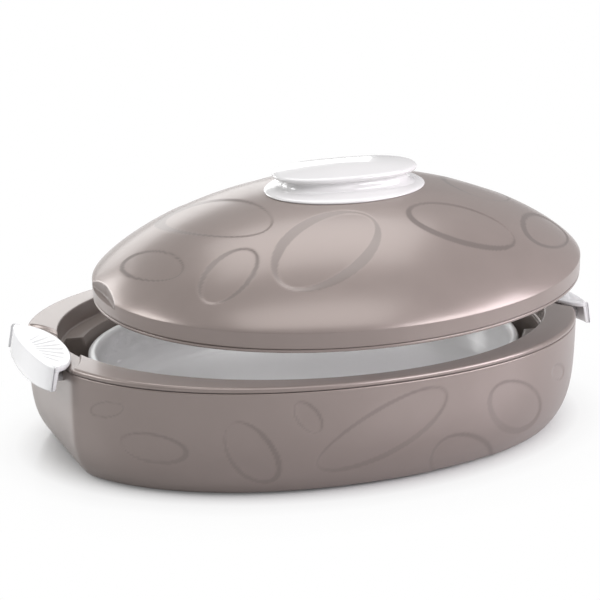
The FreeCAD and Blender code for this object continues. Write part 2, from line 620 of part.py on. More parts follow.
def make_lid():
    shell_low = LID_LIP + PARTING_GAP
    cup_top = HANDLE_CUP_CEILING + LID_LINER_WALL
    bore = HANDLE_SCREW_RADIUS + HANDLE_HOLE_CLEARANCE

    # outer shell with its notches and screw posts
    core = dome(-LID_SKIN, LID_LIP - 1.0).cut(notches(NOTCH_WALL))
    shell = dome(0.0, shell_low).cut(notches(0.0)).cut(core)
    posts = []
    for x in handle_spots():
        posts.append(upright(HANDLE_BOSS_RADIUS, x, 0, cup_top + FIT, LID_TOP - LID_SKIN))
    posts = group(posts).common(dome(-LID_SKIN / 2.0, 0.0))
    shell = shell.fuse(posts).cut(group([upright(bore, x, 0, 0, FAR) for x in handle_spots()]))
    keep("lid_outer_shell", set_down(shell.removeSplitter()))

    # inner liner: lip, hollow and cups for the screw heads
    lip = oval_prism(LID_HALF_LENGTH, LID_HALF_WIDTH, 0, LID_LIP)
    cups = [upright(HANDLE_CUP_RADIUS + LID_LINER_WALL, x, 0, LID_HOLLOW_RISE - 3.0, cup_top)
            for x in handle_spots()]
    liner = lip.multiFuse([hollow(LID_LINER_WALL).common(slab(0, FAR))] + cups)
    away = [hollow(0.0)]
    for x in handle_spots():
        away.append(upright(HANDLE_CUP_RADIUS, x, 0, 0, HANDLE_CUP_CEILING))
        away.append(upright(bore, x, 0, 0, FAR))
    away.append(upright(PLUG_RADIUS, 0, 0, 0, FAR))
    for tool in away:
        liner = liner.cut(tool)
    keep("lid_inner_liner", set_down(liner))

    # foam
    foam = dome(-LID_SKIN - FIT, LID_LIP + FIT).cut(notches(NOTCH_WALL + FIT))
    foam = foam.cut(hollow(LID_LINER_WALL + FIT))
    for x in handle_spots():
        foam = foam.cut(upright(HANDLE_CUP_RADIUS + LID_LINER_WALL + FIT, x, 0, 0, cup_top + FIT))
        foam = foam.cut(upright(HANDLE_BOSS_RADIUS + FIT, x, 0, 0, FAR))
    plug_top = LID_HOLLOW_RISE + LID_LINER_WALL + PLUG_BARB_HEIGHT
    foam = foam.cut(upright(PLUG_RADIUS + PLUG_BARB + FIT, 0, 0, 0, plug_top + FIT))
    keep("lid_foam", set_down(foam))

    barb_low = LID_HOLLOW_RISE + LID_LINER_WALL + SCREW_CLEARANCE
    plug = upright(PLUG_RADIUS - SCREW_CLEARANCE, 0, 0, LID_HOLLOW_RISE, barb_low)
    barb = upright(PLUG_RADIUS + PLUG_BARB, 0, 0, barb_low, plug_top)
    keep("lid_foam_plug", set_down(plug.fuse(barb)))

    # handle: a plate that lies on the dome, and the grip on it
    plate_top = PLATE_THICKNESS + DOME_GAP
    plate = oval_prism(PLATE_HALF_LENGTH, PLATE_HALF_WIDTH, LID_TOP - LID_RISE / 4.0, FAR)
    plate = plate.common(under_handle(plate_top)).cut(under_handle(DOME_GAP))
    plate = plate.cut(group([upright(bore, x, 0, 0, FAR) for x in handle_spots()]))
    keep("handle_plate", set_down(plate))

    edge = GRIP_HALF_LENGTH_TOP
    squash = GRIP_HALF_WIDTH_TOP / GRIP_HALF_LENGTH_TOP
    low = GRIP_EDGE_Z - GRIP_EDGE_DROP
    foot = LID_TOP - GRIP_FOOT_DEPTH
    waist = edge - GRIP_UNDERCUT
    waist_z = (low + LID_TOP + plate_top) / 2.0
    crown = GRIP_EDGE_Z + GRIP_CROWN
    grip = squashed_turn([
        line((0, foot), (waist + GRIP_FOOT_FLARE, foot)),
        arc((waist + GRIP_FOOT_FLARE, foot), (waist, waist_z), (edge - GRIP_LIP, low)),
        line((edge - GRIP_LIP, low), (edge, GRIP_EDGE_Z)),
        arc((edge, GRIP_EDGE_Z), (edge * 0.6, GRIP_EDGE_Z + GRIP_CROWN * 0.66), (0, crown)),
        line((0, crown), (0, foot)),
    ], squash)
    screw_end = GRIP_EDGE_Z - GRIP_WALL
    pocket = oval_prism(waist - GRIP_WALL, (waist - GRIP_WALL) * squash, foot - 1.0, screw_end)
    pocket = pocket.cut(group([upright(HANDLE_BOSS_RADIUS, x, 0, 0, FAR) for x in handle_spots()]))
    pilot = HANDLE_SCREW_RADIUS + SCREW_CLEARANCE
    grip = grip.cut(pocket).cut(group([upright(pilot, x, 0, 0, screw_end) for x in handle_spots()]))
    grip = grip.cut(under_handle(plate_top + DOME_GAP))
    screw_end = screw_end - FIT
    keep("handle_grip", set_down(grip.removeSplitter()))

    screws = []
    washers = []
    caps = []
    for x in handle_spots():
        seat = HANDLE_CUP_CEILING - HANDLE_WASHER_THICKNESS
        ring = upright(HANDLE_WASHER_RADIUS, x, 0, seat, HANDLE_CUP_CEILING)
        washers.append(ring.cut(upright(bore, x, 0, seat, HANDLE_CUP_CEILING)))
        head = upright(HANDLE_SCREW_HEAD_RADIUS, x, 0, seat - HANDLE_SCREW_HEAD_HEIGHT, seat)
        screws.append(head.fuse(upright(HANDLE_SCREW_RADIUS, x, 0, seat, screw_end)))
        cap_low = LID_HOLLOW_RISE - HANDLE_CAP_STANDS - 1.0
        caps.append(upright(HANDLE_CUP_RADIUS - SCREW_CLEARANCE, x, 0, cap_low,
                            cap_low + HANDLE_CAP_THICKNESS))
    keep("handle_screws", set_down(group(screws)))
    keep("handle_washers", set_down(group(washers)))
    keep("handle_screw_caps", set_down(group(caps)))


make_body()
make_dish()
make_latch(-1)
make_latch(1)
make_lid()
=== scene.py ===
import bpy
import math
import numpy as np
from mathutils import Matrix, Vector


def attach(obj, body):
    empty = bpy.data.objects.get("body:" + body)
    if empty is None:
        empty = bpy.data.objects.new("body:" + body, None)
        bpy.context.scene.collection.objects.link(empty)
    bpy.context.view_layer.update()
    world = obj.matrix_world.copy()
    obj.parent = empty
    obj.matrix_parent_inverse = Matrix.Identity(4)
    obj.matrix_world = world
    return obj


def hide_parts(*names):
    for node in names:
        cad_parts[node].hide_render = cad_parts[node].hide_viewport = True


# Looks of the insulated oval casserole.  Shapes are given in millimetres and meshes are in
# metres; the room, the lamps and the camera at the end are given in metres.

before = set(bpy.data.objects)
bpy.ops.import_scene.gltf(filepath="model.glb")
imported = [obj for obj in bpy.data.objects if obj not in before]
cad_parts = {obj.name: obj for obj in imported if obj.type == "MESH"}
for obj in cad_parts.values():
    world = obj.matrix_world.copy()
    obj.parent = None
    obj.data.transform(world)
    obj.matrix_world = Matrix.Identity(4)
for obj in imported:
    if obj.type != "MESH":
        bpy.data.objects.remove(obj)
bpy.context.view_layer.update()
MM = 0.001
FINE = 1.0          # spacing of the meshes, coarser while trying things
QUARTER = math.pi / 2.0
ROUND = 2.0 * math.pi


# ---- mesh helpers -----------------------------------------------------------------------------
def smooth(low, high, v):
    """0 to 1 between two values, with soft ends."""
    t = np.clip((v - low) / (high - low), 0.0, 1.0)
    return t * t * (3.0 - 2.0 * t)


def power(c, exponent):
    """A cosine or sine, bent for an oval of this exponent (2 is an ellipse)."""
    return np.sign(c) * np.abs(c) ** (2.0 / exponent)


def add_mesh(name, verts, faces, material, attributes=None):
    mesh = bpy.data.meshes.new(name)
    mesh.from_pydata((np.asarray(verts) * MM).tolist(), [], faces)
    mesh.polygons.foreach_set("use_smooth", [True] * len(mesh.polygons))
    for key, values in (attributes or {}).items():
        layer = mesh.attributes.new(key, "FLOAT", "POINT")
        layer.data.foreach_set("value", np.asarray(values, dtype=np.float32))
    mesh.update()
    obj = bpy.data.objects.new(name, mesh)
    bpy.context.scene.collection.objects.link(obj)
    obj.data.materials.append(material)
    return obj


def grid_faces(nu, nv, wrap_u, wrap_v, flip):
    iu = np.arange(nu if wrap_u else nu - 1)
    jv = np.arange(nv if wrap_v else nv - 1)
    i, j = np.meshgrid(iu, jv, indexing="ij")
    i2 = (i + 1) % nu
    j2 = (j + 1) % nv
    quads = np.stack([i * nv + j, i2 * nv + j, i2 * nv + j2, i * nv + j2], -1).reshape(-1, 4)
    return (quads[:, ::-1] if flip else quads).tolist()


def surface(name, points, material, wrap_u=True, wrap_v=False, cap_first=False, cap_last=False,
            flip=False, attributes=None):
    """A mesh through a grid of points: the first index runs round, the second along the profile."""
    nu, nv, _ = points.shape
    faces = grid_faces(nu, nv, wrap_u, wrap_v, flip)
    if cap_first:
        ring = [i * nv for i in range(nu)]
        faces.append(ring if flip else ring[::-1])
    if cap_last:
        ring = [i * nv + nv - 1 for i in range(nu)]
        faces.append(ring[::-1] if flip else ring)
    flat = {k: v.reshape(-1) for k, v in (attributes or {}).items()}
    obj = add_mesh(name, points.reshape(-1, 3), faces, material, flat)
    for face in list(obj.data.polygons)[len(faces) - cap_first - cap_last:]:
        face.use_smooth = False
    return obj


def grid_normals(points):
    """Unit normals of a grid that closes on itself along its first index."""
    du = np.roll(points, -1, 0) - np.roll(points, 1, 0)
    dv = np.gradient(points, axis=1)
    n = np.cross(du, dv)
    return n / np.maximum(np.linalg.norm(n, axis=2, keepdims=True), 1e-9)


def even(points, spacing):
    """Resamples a profile of (r, z) so that its points lie about this far apart."""
    pts = np.asarray(points, dtype=float)
    step = np.hypot(*np.diff(pts, axis=0).T)
    along = np.concatenate([[0.0], np.cumsum(step)])
    count = max(int(round(along[-1] / spacing)), 2)
    t = np.linspace(0.0, along[-1], count + 1)
    return np.stack([np.interp(t, along, pts[:, k]) for k in range(pts.shape[1])], -1)


def bow(centre, radius, start, end, count):
    """Points of an arc in the profile's plane, angles in degrees."""
    return [(centre[0] + radius * math.cos(a), centre[1] + radius * math.sin(a))
            for a in np.radians(np.linspace(start, end, count))]


def turned(profile, squash, count, exponent=2.0):
    """Grid of points of a profile (r, z) turned to an oval."""
    prof = np.asarray(profile, dtype=float)
    t = np.linspace(0.0, ROUND, count, endpoint=False)
    x = power(np.cos(t), exponent)[:, None] * prof[None, :, 0]
    y = power(np.sin(t), exponent)[:, None] * prof[None, :, 0] * squash
    z = np.broadcast_to(prof[None, :, 1], x.shape)
    return np.stack([x, y, z], -1)


def spread(outline, spacing):
    """Angles that space an outline's points by spacing(x, y)."""
    t = np.linspace(0.0, ROUND, 12001)
    x, y = outline(t)
    middle = (x[1:] + x[:-1]) / 2.0, (y[1:] + y[:-1]) / 2.0
    step = np.hypot(np.diff(x), np.diff(y)) / spacing(*middle)
    along = np.concatenate([[0.0], np.cumsum(step)])
    count = int(round(along[-1]))
    return np.interp(np.linspace(0.0, along[-1], count, endpoint=False), along, t)


# ---- materials --------------------------------------------------------------------------------
BUMP_DISTANCE = 0.0002                # of the skin texture, in metres
LEAST_ROUGH = 0.02


def colour_mix(tree, factor, a, b):
    """A colour between two others; a may be a socket or a colour."""
    mix = tree.nodes.new("ShaderNodeMix")
    mix.data_type = "RGBA"
    if isinstance(a, bpy.types.NodeSocket):
        tree.links.new(a, mix.inputs["A"])
    else:
        mix.inputs["A"].default_value = tuple(a) + (1.0,)
    mix.inputs["B"].default_value = tuple(b) + (1.0,)
    tree.links.new(factor, mix.inputs["Factor"])
    return mix.outputs["Result"]


def noise(tree, place, scale, detail):
    node = tree.nodes.new("ShaderNodeTexNoise")
    node.inputs["Scale"].default_value = scale
    node.inputs["Detail"].default_value = detail
    tree.links.new(place, node.inputs["Vector"])
    return node.outputs["Fac"]


def plastic(name, colour, rough, metallic=0.0, coat=0.0, coat_rough=0.1, mottle=0.04,
            mottle_scale=60.0, grain=0.02, grain_scale=2200.0, painted_band_shade=None, wear=0.06):
    """Moulded plastic: slight mottling of colour and roughness, and a fine skin texture."""
    mat = bpy.data.materials.new(name)
    mat.use_nodes = True
    tree = mat.node_tree
    shader = tree.nodes["Principled BSDF"]
    shader.inputs["Metallic"].default_value = metallic
    shader.inputs["Coat Weight"].default_value = coat
    shader.inputs["Coat Roughness"].default_value = coat_rough
    place = tree.nodes.new("ShaderNodeTexCoord").outputs["Object"]
    soft = noise(tree, place, mottle_scale, 4.0)
    out = colour_mix(tree, soft, [c * (1.0 - mottle) for c in colour],
                     [min(c * (1.0 + mottle), 1.0) for c in colour])
    # painted shade: where the mesh's attribute says, the colour darkens toward this share of
    # itself, on the ovals' bands and along the lid's notches
    if painted_band_shade is not None:
        mark = tree.nodes.new("ShaderNodeAttribute")
        mark.attribute_name = "painted_band_shade"
        out = colour_mix(tree, mark.outputs["Fac"], out, [c * painted_band_shade for c in colour])
    tree.links.new(out, shader.inputs["Base Color"])
    rub = tree.nodes.new("ShaderNodeMapRange")
    rub.inputs["To Min"].default_value = max(rough - wear, LEAST_ROUGH)
    rub.inputs["To Max"].default_value = rough + wear
    tree.links.new(soft, rub.inputs["Value"])
    tree.links.new(rub.outputs["Result"], shader.inputs["Roughness"])
    bump = tree.nodes.new("ShaderNodeBump")
    bump.inputs["Strength"].default_value = grain
    bump.inputs["Distance"].default_value = BUMP_DISTANCE
    tree.links.new(noise(tree, place, grain_scale, 2.0), bump.inputs["Height"])
    tree.links.new(bump.outputs["Normal"], shader.inputs["Normal"])
    return mat


TAUPE = (0.272, 0.226, 0.208)
NOTCH_PAINTED_SHADE = 0.75                    # of the taupe: painted shade in the notches under the latches
# the taupe's band of 0.70 is painted shade on the ovals' sloping bands
taupe = plastic("taupe_satin", TAUPE, 0.31, metallic=0.32, coat=0.25, coat_rough=0.16,
                painted_band_shade=0.70, grain=0.05, wear=0.04)
taupe_rim = plastic("taupe_rim", TAUPE, 0.30, metallic=0.32, coat=0.3, coat_rough=0.16,
                    grain=0.05, wear=0.04)
taupe_notch_painted_shade = plastic("taupe_notch_painted_shade", tuple(NOTCH_PAINTED_SHADE * c for c in TAUPE), 0.5, grain=0.05)
well_brown = plastic("well_brown", (0.27, 0.228, 0.208), 0.42, metallic=0.1, grain=0.06)
white = plastic("white_gloss", (0.77, 0.77, 0.78), 0.25, coat=0.4, coat_rough=0.12,
                mottle=0.012, grain=0.01, wear=0.03)
knob_white = plastic("knob_white", (0.69, 0.685, 0.685), 0.16, coat=0.6, coat_rough=0.05,
                     mottle=0.012, grain=0.01, wear=0.03)
dish_white = plastic("dish_white", (0.89, 0.89, 0.89), 0.30, coat=0.3, coat_rough=0.12,
                     mottle=0.006, mottle_scale=15.0, grain=0.01, wear=0.01)
foam_mat = plastic("foam_cells", (0.80, 0.72, 0.46), 0.85, mottle=0.12, mottle_scale=350.0,
                   grain=0.9, grain_scale=900.0)
steel = plastic("zinc_steel", (0.62, 0.62, 0.63), 0.30, metallic=1.0, mottle=0.08,
                mottle_scale=400.0, grain=0.1)
rubber = plastic("feet_rubber", (0.03, 0.03, 0.03), 0.75, mottle=0.2, mottle_scale=200.0,
                 grain=0.5, grain_scale=1500.0)
dark_plastic = plastic("underside_plastic", (0.25, 0.21, 0.20), 0.5, mottle=0.05, grain=0.4,
                       grain_scale=1200.0)


# ---- recessed ovals ---------------------------------------------------------------------------
class Oval:
    """A shallow oval recess: a sloping band between an outer and an inner oval, flat inside."""

    REACH = 24.0                      # how far off its plane a point may lie
    EDGE = 0.5                        # width of the soft edge of the band's painted shade

    def __init__(self, at, normal, outer, inner, turn, depth,
                 shift=(0.0, 0.0), inner_shift=(0.0, 0.0)):
        self.at = np.asarray(at, dtype=float)
        self.n = np.asarray(normal, dtype=float) / np.linalg.norm(normal)
        self.u = np.cross([0.0, 0.0, 1.0], self.n)
        self.u = self.u / np.linalg.norm(self.u)
        self.w = np.cross(self.n, self.u)
        self.outer, self.inner, self.turn = outer, inner, math.radians(turn)
        self.shift, self.inner_shift, self.depth = shift, inner_shift, depth

    def fall(self, points):
        """(how far down, in mm, and how strongly the band's painted shade shows) at each point."""
        d = points - self.at
        u, w, h = d @ self.u, d @ self.w, d @ self.n

        def reach(shift, radii):
            a, b = u - shift[0], w - shift[1]
            p = a * math.cos(self.turn) + b * math.sin(self.turn)
            q = -a * math.sin(self.turn) + b * math.cos(self.turn)
            return np.hypot(p / radii[0], q / radii[1])

        centre = (self.shift[0] + self.inner_shift[0], self.shift[1] + self.inner_shift[1])
        fo = reach(self.shift, self.outer)
        fi = reach(centre, self.inner)
        inside = (1.0 - fo) * min(self.outer)
        outside = (fi - 1.0) * min(self.inner)
        across = np.maximum(np.maximum(inside, 0.0) + np.maximum(outside, 0.0), 1e-6)
        near = (np.abs(h) < self.REACH) & (fo < 1.0)
        ramp = np.where(near, np.clip(inside / across, 0.0, 1.0), 0.0)
        shade_shows = smooth(0.0, self.EDGE, inside) * smooth(0.0, self.EDGE, outside)
        return ramp * self.depth, np.where(near, shade_shows, 0.0)


def press(points, normals, ovals):
    """Sinks the ovals into a grid of points and returns it with the strength of the bands' painted
    shade.
    """
    fall = np.zeros(points.shape[:2])
    painted_band_shade = np.zeros(points.shape[:2])
    for oval in ovals:
        f, b = oval.fall(points)
        fall = np.maximum(fall, f)
        painted_band_shade = np.maximum(painted_band_shade, b)
    return points - normals * fall[:, :, None], painted_band_shade


# ---- body -------------------------------------------------------------------------------------
HEIGHT = 72.0
FOOT_A, FOOT_B = 167.0, 118.7         # half length and half width at the foot
GROWS_A, GROWS_B = 12.0, 19.3         # how much larger they are at the rim
CURVE_A, CURVE_B = 6.0, 3.06          # how early they grow
END_FOOT, END_GROWS, END_CURVE = 157.6, 12.4, 5.6       # the flat end faces
END_ROUND = 1.6                       # softness of their corners
BODY_PAINTED_SHADE = 0.6                       # strength of the painted shade on the ovals' bands on the body


def section(z):
    """Half length, half width and exponent of the body's outline at one height."""
    t = min(max(z / HEIGHT, 0.0), 1.0)
    a = FOOT_A + GROWS_A * (1.0 - (1.0 - t) ** CURVE_A)
    b = FOOT_B + GROWS_B * (1.0 - (1.0 - t) ** CURVE_B)
    return a, b, 2.14 + 0.02 * t


def wall(phi, z, inset=0.0):
    """The body's outline at one height."""
    t = min(max(z / HEIGHT, 0.0), 1.0)
    a, b, n = section(z)
    end = END_FOOT + END_GROWS * (1.0 - (1.0 - t) ** END_CURVE) - inset
    x = (a - inset) * power(np.cos(phi), n)
    y = (b - inset) * power(np.sin(phi), n)
    ax = np.abs(x)
    return np.sign(x) * 0.5 * (ax + end - np.sqrt((ax - end) ** 2 + END_ROUND ** 2)), y


def wall_row(phi, z_wall, inset, z):
    """A ring of points along the outline of one height, laid at another."""
    x, y = wall(phi, z_wall, inset)
    return np.stack([x, y, np.full_like(x, z)], -1)


def end_spacing(x_fine, fine, coarse):
    """Spacing of an outline's points: fine at the two ends, coarse between them."""
    return lambda x, y: FINE * np.where(np.abs(x) > x_fine, fine, coarse)


phi = spread(lambda t: wall(t, HEIGHT), end_spacing(140.0, 0.75, 1.15))
# (inset, z) from the underside, round the foot, up the wall and over the top edge
FOOT_R, FOOT_Z, FOOT_RECESS = 1.6, 1.2, 10.0
rows = [(FOOT_RECESS + 3.0, 5.0), (FOOT_RECESS, 5.0), (FOOT_RECESS, FOOT_Z + 0.4),
        (FOOT_RECESS - 0.4, FOOT_Z), (FOOT_R, FOOT_Z)]
rows += [(FOOT_R - FOOT_R * math.sin(a), FOOT_Z + FOOT_R - FOOT_R * math.cos(a))
         for a in np.linspace(0.2, QUARTER, 5)]
rows += [(0.0, z) for z in np.linspace(3.6, 67.0, int(58 / FINE))]
rows += [(0.05, 67.4), (0.25, 67.75), (0.6, 67.95), (1.0, 68.0), (2.5, 68.0), (2.5, 60.0)]
shell = np.stack([wall_row(phi, z, inset, z) for inset, z in rows], 1)
outward = grid_normals(shell)
WALL_ROW = 30                         # a row on the wall, which tells where outward is
if (outward[:, WALL_ROW] * shell[:, WALL_ROW] * [1, 1, 0]).sum() < 0:
    outward = -outward


def side_oval(x, z, side, **keys):
    """An oval on the body's long wall; side is -1 for the front, 1 for the back."""
    t = z / HEIGHT
    a, b, n = section(z)
    y = side * b * (1.0 - abs(x / a) ** n) ** (1.0 / n)
    lean = CURVE_B * (1.0 - t) ** (CURVE_B - 1.0) * GROWS_B / HEIGHT
    nx, ny = math.copysign(abs(x / a) ** (n - 1) / a, x), side * abs(y / b) ** (n - 1) / b
    flat = math.hypot(nx, ny)
    return Oval((x, y, z), (nx / flat, ny / flat, -lean), **keys)


front_ovals = [
    dict(x=-156, z=52, outer=(13.2, 5.2), inner=(11.0, 3.8), turn=16, depth=0.35),
    dict(x=-134.5, z=31.5, outer=(21.5, 10.3), inner=(19.0, 8.2), turn=-3,
         inner_shift=(-1.6, 0.4), depth=0.5),
    dict(x=-84, z=29.5, outer=(24.5, 14.0), inner=(22.0, 10.8), turn=-61,
         inner_shift=(-1.0, 1.2), depth=0.35),
    dict(x=-54.5, z=52.5, outer=(12.0, 7.0), inner=(10.6, 5.0), turn=-54, depth=0.35),
    dict(x=-7.5, z=37.8, outer=(44.4, 17.7), inner=(42.2, 14.0), turn=26,
         inner_shift=(0.4, 0.7), depth=0.55),
    dict(x=53, z=6.0, outer=(33.0, 19.0), inner=(29.5, 15.5), turn=-38, depth=0.4),
    dict(x=89, z=34.5, outer=(32.0, 16.6), inner=(27.5, 13.2), turn=-31,
         inner_shift=(0.5, 1.6), depth=0.55),
    dict(x=129.5, z=46.5, outer=(12.0, 5.5), inner=(10.0, 4.0), turn=-22, depth=0.35),
]
side_ovals = [side_oval(side=-1, **o) for o in front_ovals]
side_ovals += [side_oval(side=1, **{**o, "x": -o["x"]}) for o in front_ovals]
shell, shell_painted_shade = press(shell, outward, side_ovals)
# the body's ovals carry painted shade on their bands
shell_obj = surface("shell_look", shell, taupe, attributes={"painted_band_shade": BODY_PAINTED_SHADE * shell_painted_shade},
                    cap_first=True)
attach(shell_obj, "base")
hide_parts("base_outer_shell")


# ---- rim, ledge and well ----------------------------------------------------------------------
OPEN_A, OPEN_B = 159.6, 127.4         # the opening for the lid
WELL_A, WELL_B = 146.0, 117.0         # the ledge's inner edge
GRIP_A, GRIP_B = 157.0, 125.4         # the same in the finger recesses
LEDGE = 59.4
STEP, FLOOR = 31.0, 19.0              # bottom of the finger recesses, bottom of the well
STEP_A, FLOOR_A = 138.0, 126.0        # the well's half length at the step and on the floor
LATCH_X = 173.0                       # centre of the latch seats and of the lid's notches
SEAT_LONG, SEAT_WIDE, SEAT_DEEP = 19.0, 51.0, 2.0
TOP_R = 2.2                           # the rim's outer edge: how far its rounding reaches in


def ellipse(phi, a, b, z):
    x = a * np.cos(phi)
    y = b * np.sin(phi)
    return np.stack([x, y, np.broadcast_to(z, x.shape)], -1)


def seat_depth(points):
    """2 mm inside the latch seats, with a slightly rounded step."""
    x, y = np.abs(points[..., 0]), np.abs(points[..., 1])
    lobe = (1.0 - np.hypot((x - LATCH_X) / SEAT_LONG, y / SEAT_WIDE)) * SEAT_LONG
    out = np.minimum(x - LATCH_X, SEAT_WIDE - y)
    return SEAT_DEEP * smooth(-0.1, 0.7, np.maximum(lobe, out))


phi_r = spread(lambda t: wall(t, HEIGHT), end_spacing(118.0, 0.6, 1.4))


def open_row(out, z):
    """A ring of the opening's wall, moved out by this much."""
    return ellipse(phi_r, OPEN_A + out, OPEN_B + out, z)


rim_rows = [wall_row(phi_r, HEIGHT, inset, z) for inset, z in (
    (2.4, 70.0), (2.4, 68.6), (2.1, 68.3), (0.9, 68.3), (0.5, 68.36), (0.2, 68.6), (0.0, 69.0),
    (0.0, 69.6))]
for a in np.linspace(0.15, QUARTER, 7):
    rim_rows.append(wall_row(phi_r, HEIGHT, TOP_R - TOP_R * math.cos(a),
                             69.5 + 2.1 * math.sin(a)))
last = rim_rows[-1]
edge = open_row(1.0, HEIGHT)
for s in np.linspace(0.0, 1.0, 26)[1:]:
    p = last + (edge - last) * s
    p[:, 2] = 71.6 + 0.4 * math.sin(s * QUARTER)
    rim_rows.append(p)
for a in np.linspace(0.3, QUARTER, 4):
    rim_rows.append(open_row(1.0 - math.sin(a), HEIGHT - 1.0 + math.cos(a)))
LEDGE_R = 1.4
for z in np.linspace(70.4, LEDGE + LEDGE_R, 7):
    rim_rows.append(open_row(0.0, z))
for a in np.linspace(0.3, QUARTER, 4):
    rim_rows.append(open_row(LEDGE_R * math.cos(a) - LEDGE_R,
                             LEDGE + LEDGE_R - LEDGE_R * math.sin(a)))
rim = np.stack(rim_rows, 1)
SEAT_TOP, SEAT_LEAST = 69.2, 69.0     # the seats sink what is above the one, to the other at most
sunk = np.minimum(rim[..., 2], np.maximum(rim[..., 2] - seat_depth(rim), SEAT_LEAST))
rim[..., 2] = np.where(rim[..., 2] > SEAT_TOP, sunk, rim[..., 2])

# 1 in the finger recesses, 0 beside them
grip_share = smooth(50.6, 48.2, np.abs(ellipse(phi_r, GRIP_A, GRIP_B, LEDGE)[:, 1]))[:, None]


def well_row(share_well, share_grip, z_well, z_grip):
    """A ring of the well: its size as a share of the ledge's edge, beside and in the recesses."""
    beside = ellipse(phi_r, WELL_A * share_well, WELL_B * share_well, z_well)
    inside = ellipse(phi_r, GRIP_A * share_grip, GRIP_B * share_grip, z_grip)
    return beside + (inside - beside) * grip_share


GRIP_FOOT = 0.98                      # a finger recess is this much smaller at its bottom
LIP = LEDGE - 0.9                     # where the ledge's rounded edge ends
well_rows = [rim_rows[-1]]
for past_well, past_grip, down in ((4.0, 0.7, 0.0), (0.8, 0.45, 0.0), (0.25, 0.15, 0.2),
                                   (0.0, 0.0, 0.9)):
    well_rows.append(well_row((WELL_A + past_well) / WELL_A, (GRIP_A + past_grip) / GRIP_A,
                              LEDGE - down, LEDGE - down))
for s in np.linspace(0.1, 1.0, 10):
    z = LIP - (LIP - STEP) * s
    well_rows.append(well_row((WELL_A - (WELL_A - STEP_A) * s) / WELL_A,
                              1.0 - (1.0 - GRIP_FOOT) * max(s - 0.8, 0.0) * 5.0,
                              z, max(z, STEP + 0.6)))
for s in (0.3, 0.65, 1.0):
    well_rows.append(well_row(STEP_A / WELL_A, (1.0 - s) * GRIP_FOOT + s * STEP_A / GRIP_A,
                              STEP, STEP))
for a in np.linspace(0.2, QUARTER, 8):
    half = FLOOR_A + (STEP_A - FLOOR_A) * math.cos(a)
    z = STEP - (STEP - FLOOR) * math.sin(a)
    well_rows.append(well_row(half / WELL_A, half / GRIP_A, z, z))
for half in (100.0, 60.0, 20.0, 2.0):
    well_rows.append(well_row(half / WELL_A, half / GRIP_A, FLOOR, FLOOR))
rim_obj = surface("rim_look", rim, taupe_rim)
well_obj = surface("well_look", np.stack(well_rows, 1), well_brown, cap_last=True)
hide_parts("base_inner_liner")
for o in (rim_obj, well_obj):
    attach(o, "base")


# ---- serving dish -----------------------------------------------------------------------------
DISH_PROFILE = 143.5                  # half length that the profile below is drawn for
DISH_A, DISH_B = 142.3, 112.5
DISH_X = 1.1
# underside and foot ring, outer wall, rolled edge, inner wall, floor
dish = [(2.0, 21.5), (107.5, 21.5), (108.0, 21.2), (108.0, 19.2), (108.3, 19.0), (112.7, 19.0),
        (113.0, 19.2), (113.0, 21.3)]
dish += [(118.0, 21.7), (122.0, 24.0), (127.0, 28.0), (132.0, 34.0), (135.6, 41.0),
         (138.2, 48.0), (139.3, 51.6)]
dish += [(142.4, 51.6), (143.0, 51.9), (143.4, 52.6)]
dish += bow((141.2, 53.8), 2.2, 0, 90, 7)
dish += [(139.5, 55.95), (138.2, 55.2), (137.3, 53.9)]
dish += [(136.3, 49.0), (133.9, 42.0), (130.4, 35.2), (125.7, 29.8), (120.0, 26.1),
         (115.8, 24.3), (111.0, 23.75)]
dish += [(90.0, 23.7), (50.0, 23.7), (2.0, 23.7)]
dish_pts = turned(even(dish, 1.6), DISH_B / DISH_PROFILE, 360)
dish_pts = dish_pts * [DISH_A / DISH_PROFILE, 1.0, 1.0] + [DISH_X, 0.0, 0.0]
dish_obj = surface("dish_look", dish_pts, dish_white, cap_first=True, cap_last=True, flip=True)
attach(dish_obj, "dish")
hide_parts("serving_dish")


# ---- latches ----------------------------------------------------------------------------------
PAD_X, PAD_HALF = -178.0, 50.0        # the left latch's pad: its centre line, half its length
PAD_IN, PAD_OUT = 18.0, 6.0           # how far it reaches in over the rim, and out
PAD_TOP, PAD_UNDER = 73.5, 70.3
PAD_EDGE = 2.2                        # rounding of the edge between pad and skirt
SKIRT_FOOT, SKIRT_RISE = 55.0, 4.0    # its lower edge at the middle, and how much higher at an end
SKIRT_THICK, SKIRT_OUT = 1.85, 2.15   # the skirt's wall, and how far it runs out downwards
VEIN_DEEP, PAD_SINK = 0.38, 0.25      # the ribs' grooves, and the pad inside its border
VEIN_COUNT = 15.0


